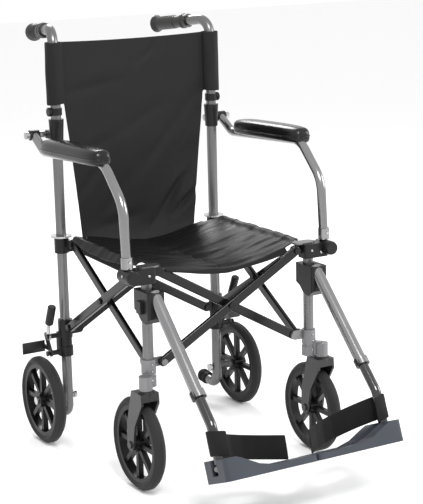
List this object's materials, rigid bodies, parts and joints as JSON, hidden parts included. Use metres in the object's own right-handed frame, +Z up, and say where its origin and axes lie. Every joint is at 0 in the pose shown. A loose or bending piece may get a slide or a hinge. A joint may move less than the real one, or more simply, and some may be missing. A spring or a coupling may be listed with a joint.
{
  "type": "folding transit wheelchair",
  "caption": "Folding transit wheelchair with crossed-bar frame, sling seat, cloth back, flip-up arms, swing-away footrests, casters, small rear wheels and push handles.",
  "frame": {"origin": "on the ground, on the middle plane, midway between the ends of the push handles and the front of the footplates", "axes": "+Z up, -Y the way the chair faces, +X to the seated person's left"},
  "size_m": [0.582, 0.9228, 0.9481],
  "materials": {
    "frame_tube": "silver-grey powder coat",
    "arm_tube": "bright silver-grey coat, glossy",
    "bright_steel": "zinc-plated steel",
    "brake_metal": "zinc-plated lever with a black grip",
    "black_steel": "black painted steel",
    "black_chrome": "dark chrome",
    "casting": "grey painted casting",
    "black_plastic": "moulded, satin",
    "fork_plastic": "moulded, satin",
    "rim_plastic": "moulded, satin",
    "tyre": "solid grey-black rubber",
    "rubber": "ribbed rubber",
    "grip_foam": "ribbed vinyl grip",
    "pad_skin": "black vinyl skin",
    "bar_black": "black powder coat, satin",
    "footplate": "blue-grey moulded plastic",
    "webbing": "black webbing",
    "seat_cloth": "black coated nylon",
    "back_cloth": "charcoal nylon"
  },
  "bodies": {
    "rear_frame_left": {"rear_post_left": "frame_tube", "push_grip_left": "grip_foam", "tip_cap_left": "rubber", "post_collars_left": "black_plastic"},
    "rear_frame_right": {"rear_post_right": "frame_tube", "push_grip_right": "grip_foam", "tip_cap_right": "rubber", "post_collars_right": "black_plastic", "back_panel": "back_cloth"},
    "seat_collar_left": {"seat_collar_left": "black_plastic"},
    "front_frame_left": {"front_post_left": "frame_tube", "caster_housing_left": "casting"},
    "bracket_left": {"front_bracket_left": "black_plastic"},
    "seat_left": {"seat_half_left": "seat_cloth"},
    "arm_rod_left": {"arm_rod_left": "bright_steel"},
    "arm_left": {"arm_tube_left": "arm_tube", "arm_pad_left": "pad_skin"},
    "hanger_left": {"footrest_block_left": "black_plastic", "hanger_tube_left": "arm_tube"},
    "footrest_left": {"footrest_tube_left": "black_chrome"},
    "footplate_left": {"footplate_left": "footplate", "heel_strap_left": "webbing"},
    "brake_lever_left": {"brake_lever_left": "brake_metal"},
    "brake_shoe_left": {"brake_shoe_left": "black_steel"},
    "caster_fork_left": {"caster_fork_left": "fork_plastic"},
    "caster_wheel_left": {"caster_tyre_left": "tyre", "caster_rim_left": "rim_plastic"},
    "rear_wheel_left": {"rear_tyre_left": "tyre", "rear_rim_left": "rim_plastic"},
    "lock_knob_left": {"lock_knob_left": "black_plastic"},
    "seat_collar_right": {"seat_collar_right": "black_plastic"},
    "front_frame_right": {"front_post_right": "frame_tube", "caster_housing_right": "casting"},
    "bracket_right": {"front_bracket_right": "black_plastic"},
    "seat_right": {"seat_half_right": "seat_cloth"},
    "arm_rod_right": {"arm_rod_right": "bright_steel"},
    "arm_right": {"arm_tube_right": "arm_tube", "arm_pad_right": "pad_skin"},
    "hanger_right": {"footrest_block_right": "black_plastic", "hanger_tube_right": "arm_tube"},
    "footrest_right": {"footrest_tube_right": "black_chrome"},
    "footplate_right": {"footplate_right": "footplate", "heel_strap_right": "webbing"},
    "brake_lever_right": {"brake_lever_right": "brake_metal"},
    "brake_shoe_right": {"brake_shoe_right": "black_steel"},
    "caster_fork_right": {"caster_fork_right": "fork_plastic"},
    "caster_wheel_right": {"caster_tyre_right": "tyre", "caster_rim_right": "rim_plastic"},
    "rear_wheel_right": {"rear_tyre_right": "tyre", "rear_rim_right": "rim_plastic"},
    "lock_knob_right": {"lock_knob_right": "black_plastic"},
    "front_bar_inner": {"front_bar_inner": "bar_black"},
    "front_bar_outer": {"front_bar_outer": "bar_black"},
    "rear_bar_outer": {"rear_bar_outer": "bar_black"},
    "rear_bar_inner": {"rear_bar_inner": "bar_black"},
    "side_bar_inner_right": {"side_bar_inner_right": "bar_black"},
    "side_bar_outer_right": {"side_bar_outer_right": "bar_black"},
    "side_bar_inner_left": {"side_bar_inner_left": "bar_black"},
    "side_bar_outer_left": {"side_bar_outer_left": "bar_black"}
  },
  "joints": [
    {"name": "fold", "type": "hinge", "parent": "rear_frame_right", "child": "side_bar_outer_right", "pos_m": [-0.2, 0.2409, 0.27], "axis": [-1, 0, 0], "range_deg": [0, 42.8], "deforming": ["back_panel"]},
    {"name": "fold_bracket_right", "type": "hinge", "parent": "side_bar_outer_right", "child": "bracket_right", "pos_m": [-0.2, -0.0931, 0.462], "axis": [1, 0, 0], "range_deg": [0, 42.81]},
    {"name": "fold_side_cross_right", "type": "hinge", "parent": "side_bar_outer_right", "child": "side_bar_inner_right", "pos_m": [-0.2, 0.0739, 0.366], "axis": [1, 0, 0], "range_deg": [0, 85.61]},
    {"name": "fold_front_post_right", "type": "hinge", "parent": "side_bar_inner_right", "child": "front_frame_right", "pos_m": [-0.2, -0.0931, 0.27], "axis": [-1, 0, 0], "range_deg": [0, 42.81]},
    {"name": "fold_seat_collar_right", "type": "hinge", "parent": "side_bar_inner_right", "child": "seat_collar_right", "pos_m": [-0.2, 0.2409, 0.462], "axis": [-1, 0, 0], "range_deg": [0, 42.81]},
    {"name": "fold_front_bar", "type": "hinge", "parent": "bracket_right", "child": "front_bar_inner", "pos_m": [-0.167, -0.1261, 0.466], "axis": [0, 1, 0], "range_deg": [0, 42.81]},
    {"name": "fold_front_post_left", "type": "hinge", "parent": "front_bar_inner", "child": "front_frame_left", "pos_m": [0.167, -0.1261, 0.274], "axis": [0, -1, 0], "range_deg": [0, 42.81]},
    {"name": "fold_front_cross", "type": "hinge", "parent": "front_bar_inner", "child": "front_bar_outer", "pos_m": [0, -0.1261, 0.37], "axis": [0, -1, 0], "range_deg": [0, 85.61]},
    {"name": "fold_bracket_left", "type": "hinge", "parent": "front_bar_outer", "child": "bracket_left", "pos_m": [0.167, -0.1261, 0.466], "axis": [0, 1, 0], "range_deg": [0, 42.81]},
    {"name": "fold_rear_bar", "type": "hinge", "parent": "rear_frame_right", "child": "rear_bar_outer", "pos_m": [-0.167, 0.2739, 0.256], "axis": [0, -1, 0], "range_deg": [0, 42.81]},
    {"name": "fold_seat_collar_left", "type": "hinge", "parent": "rear_bar_outer", "child": "seat_collar_left", "pos_m": [0.167, 0.2739, 0.448], "axis": [0, 1, 0], "range_deg": [0, 42.81]},
    {"name": "fold_rear_cross", "type": "hinge", "parent": "rear_bar_outer", "child": "rear_bar_inner", "pos_m": [0, 0.2739, 0.352], "axis": [0, 1, 0], "range_deg": [0, 85.61]},
    {"name": "fold_rear_post_left", "type": "hinge", "parent": "rear_bar_inner", "child": "rear_frame_left", "pos_m": [0.167, 0.2739, 0.256], "axis": [0, -1, 0], "range_deg": [0, 42.81]},
    {"name": "fold_side_bar_left", "type": "hinge", "parent": "rear_frame_left", "child": "side_bar_outer_left", "pos_m": [0.2, 0.2409, 0.27], "axis": [-1, 0, 0], "range_deg": [0, 42.81]},
    {"name": "fold_side_cross_left", "type": "hinge", "parent": "side_bar_outer_left", "child": "side_bar_inner_left", "pos_m": [0.2, 0.0739, 0.366], "axis": [1, 0, 0], "range_deg": [0, 85.61]},
    {"name": "fold_seat_left", "type": "hinge", "parent": "seat_collar_left", "child": "seat_left", "pos_m": [0.196, 0.0739, 0.48], "axis": [0, -1, 0], "range_deg": [0, 54.19], "deforming": ["seat_half_left"]},
    {"name": "fold_seat_right", "type": "hinge", "parent": "seat_collar_right", "child": "seat_right", "pos_m": [-0.196, 0.0739, 0.48], "axis": [0, 1, 0], "range_deg": [0, 54.19], "deforming": ["seat_half_right"]},
    {"name": "arm_lift_left", "type": "hinge", "parent": "rear_frame_left", "child": "arm_rod_left", "pos_m": [0.242, 0.3029, 0.706], "axis": [-1, 0, 0], "range_deg": [0, 42.81]},
    {"name": "arm_flip_left", "type": "hinge", "parent": "arm_rod_left", "child": "arm_left", "pos_m": [0.242, 0.3029, 0.706], "axis": [-1, 0, 0], "range_deg": [0, 100]},
    {"name": "footrest_swing_left", "type": "hinge", "parent": "front_frame_left", "child": "hanger_left", "pos_m": [0.2, -0.1261, 0.4], "axis": [0, 0, 1], "range_deg": [0, 90.01]},
    {"name": "footrest_length_left", "type": "slide", "parent": "hanger_left", "child": "footrest_left", "axis": [0, 0.7071, 0.7071], "range_m": [0, 0.055]},
    {"name": "footplate_flip_left", "type": "hinge", "parent": "footrest_left", "child": "footplate_left", "pos_m": [0.198, -0.4071, 0.131], "axis": [0, 0.9304, -0.3665], "range_deg": [0, 85], "deforming": ["heel_strap_left"]},
    {"name": "brake_left", "type": "hinge", "parent": "rear_frame_left", "child": "brake_lever_left", "pos_m": [0.236, 0.2739, 0.247], "axis": [1, 0, 0], "range_deg": [0, 36]},
    {"name": "brake_press_left", "type": "hinge", "parent": "rear_frame_left", "child": "brake_shoe_left", "pos_m": [0.236, 0.2739, 0.207], "axis": [-1, 0, 0], "range_deg": [0, 12.01]},
    {"name": "caster_swivel_left", "type": "hinge", "parent": "front_frame_left", "child": "caster_fork_left", "pos_m": [0.2195, -0.1476, 0.24], "axis": [0, 0, 1], "continuous": true},
    {"name": "caster_spin_left", "type": "hinge", "parent": "caster_fork_left", "child": "caster_wheel_left", "pos_m": [0.2195, -0.1101, 0.1], "axis": [1, 0, 0], "continuous": true},
    {"name": "rear_spin_left", "type": "hinge", "parent": "rear_frame_left", "child": "rear_wheel_left", "pos_m": [0.26, 0.2769, 0.1], "axis": [1, 0, 0], "continuous": true},
    {"name": "lock_knob_pull_left", "type": "slide", "parent": "rear_frame_left", "child": "lock_knob_left", "axis": [1, 0, 0], "range_m": [0, 0.005], "stiffness_N_per_m": 400},
    {"name": "arm_lift_right", "type": "hinge", "parent": "rear_frame_right", "child": "arm_rod_right", "pos_m": [-0.242, 0.3029, 0.706], "axis": [-1, 0, 0], "range_deg": [0, 42.81]},
    {"name": "arm_flip_right", "type": "hinge", "parent": "arm_rod_right", "child": "arm_right", "pos_m": [-0.242, 0.3029, 0.706], "axis": [-1, 0, 0], "range_deg": [0, 100]},
    {"name": "footrest_swing_right", "type": "hinge", "parent": "front_frame_right", "child": "hanger_right", "pos_m": [-0.2, -0.1261, 0.4], "axis": [0, 0, -1], "range_deg": [0, 90.01]},
    {"name": "footrest_length_right", "type": "slide", "parent": "hanger_right", "child": "footrest_right", "axis": [0, 0.7071, 0.7071], "range_m": [0, 0.055]},
    {"name": "footplate_flip_right", "type": "hinge", "parent": "footrest_right", "child": "footplate_right", "pos_m": [-0.198, -0.4071, 0.131], "axis": [0, -0.9304, 0.3665], "range_deg": [0, 85], "deforming": ["heel_strap_right"]},
    {"name": "brake_right", "type": "hinge", "parent": "rear_frame_right", "child": "brake_lever_right", "pos_m": [-0.236, 0.2739, 0.247], "axis": [1, 0, 0], "range_deg": [0, 36]},
    {"name": "brake_press_right", "type": "hinge", "parent": "rear_frame_right", "child": "brake_shoe_right", "pos_m": [-0.236, 0.2739, 0.207], "axis": [-1, 0, 0], "range_deg": [0, 12.01]},
    {"name": "caster_swivel_right", "type": "hinge", "parent": "front_frame_right", "child": "caster_fork_right", "pos_m": [-0.2195, -0.1476, 0.24], "axis": [0, 0, 1], "continuous": true},
    {"name": "caster_spin_right", "type": "hinge", "parent": "caster_fork_right", "child": "caster_wheel_right", "pos_m": [-0.2195, -0.1101, 0.1], "axis": [1, 0, 0], "continuous": true},
    {"name": "rear_spin_right", "type": "hinge", "parent": "rear_frame_right", "child": "rear_wheel_right", "pos_m": [-0.26, 0.2769, 0.1], "axis": [1, 0, 0], "continuous": true},
    {"name": "lock_knob_pull_right", "type": "slide", "parent": "rear_frame_right", "child": "lock_knob_right", "axis": [-1, 0, 0], "range_m": [0, 0.005], "stiffness_N_per_m": 400}
  ],
  "couplings": [
    {"joint": "fold_bracket_right", "follows": "fold", "ratio": 1},
    {"joint": "fold_side_cross_right", "follows": "fold", "ratio": 2},
    {"joint": "fold_front_post_right", "follows": "fold", "ratio": 1},
    {"joint": "fold_seat_collar_right", "follows": "fold", "ratio": 1},
    {"joint": "fold_front_bar", "follows": "fold", "ratio": 1},
    {"joint": "fold_front_post_left", "follows": "fold", "ratio": 1},
    {"joint": "fold_front_cross", "follows": "fold", "ratio": 2},
    {"joint": "fold_bracket_left", "follows": "fold", "ratio": 1},
    {"joint": "fold_rear_bar", "follows": "fold", "ratio": 1},
    {"joint": "fold_seat_collar_left", "follows": "fold", "ratio": 1},
    {"joint": "fold_rear_cross", "follows": "fold", "ratio": 2},
    {"joint": "fold_rear_post_left", "follows": "fold", "ratio": 1},
    {"joint": "fold_side_bar_left", "follows": "fold", "ratio": 1},
    {"joint": "fold_side_cross_left", "follows": "fold", "ratio": 2},
    {"joint": "fold_seat_left", "follows": "fold", "ratio": 1.266},
    {"joint": "fold_seat_right", "follows": "fold", "ratio": 1.266},
    {"joint": "arm_lift_left", "follows": "fold", "ratio": 1},
    {"joint": "footrest_swing_left", "follows": "fold", "ratio": 2.1028},
    {"joint": "brake_press_left", "follows": "brake_left", "ratio": 0.33333},
    {"joint": "arm_lift_right", "follows": "fold", "ratio": 1},
    {"joint": "footrest_swing_right", "follows": "fold", "ratio": 2.1028},
    {"joint": "brake_press_right", "follows": "brake_right", "ratio": 0.33333}
  ]
}
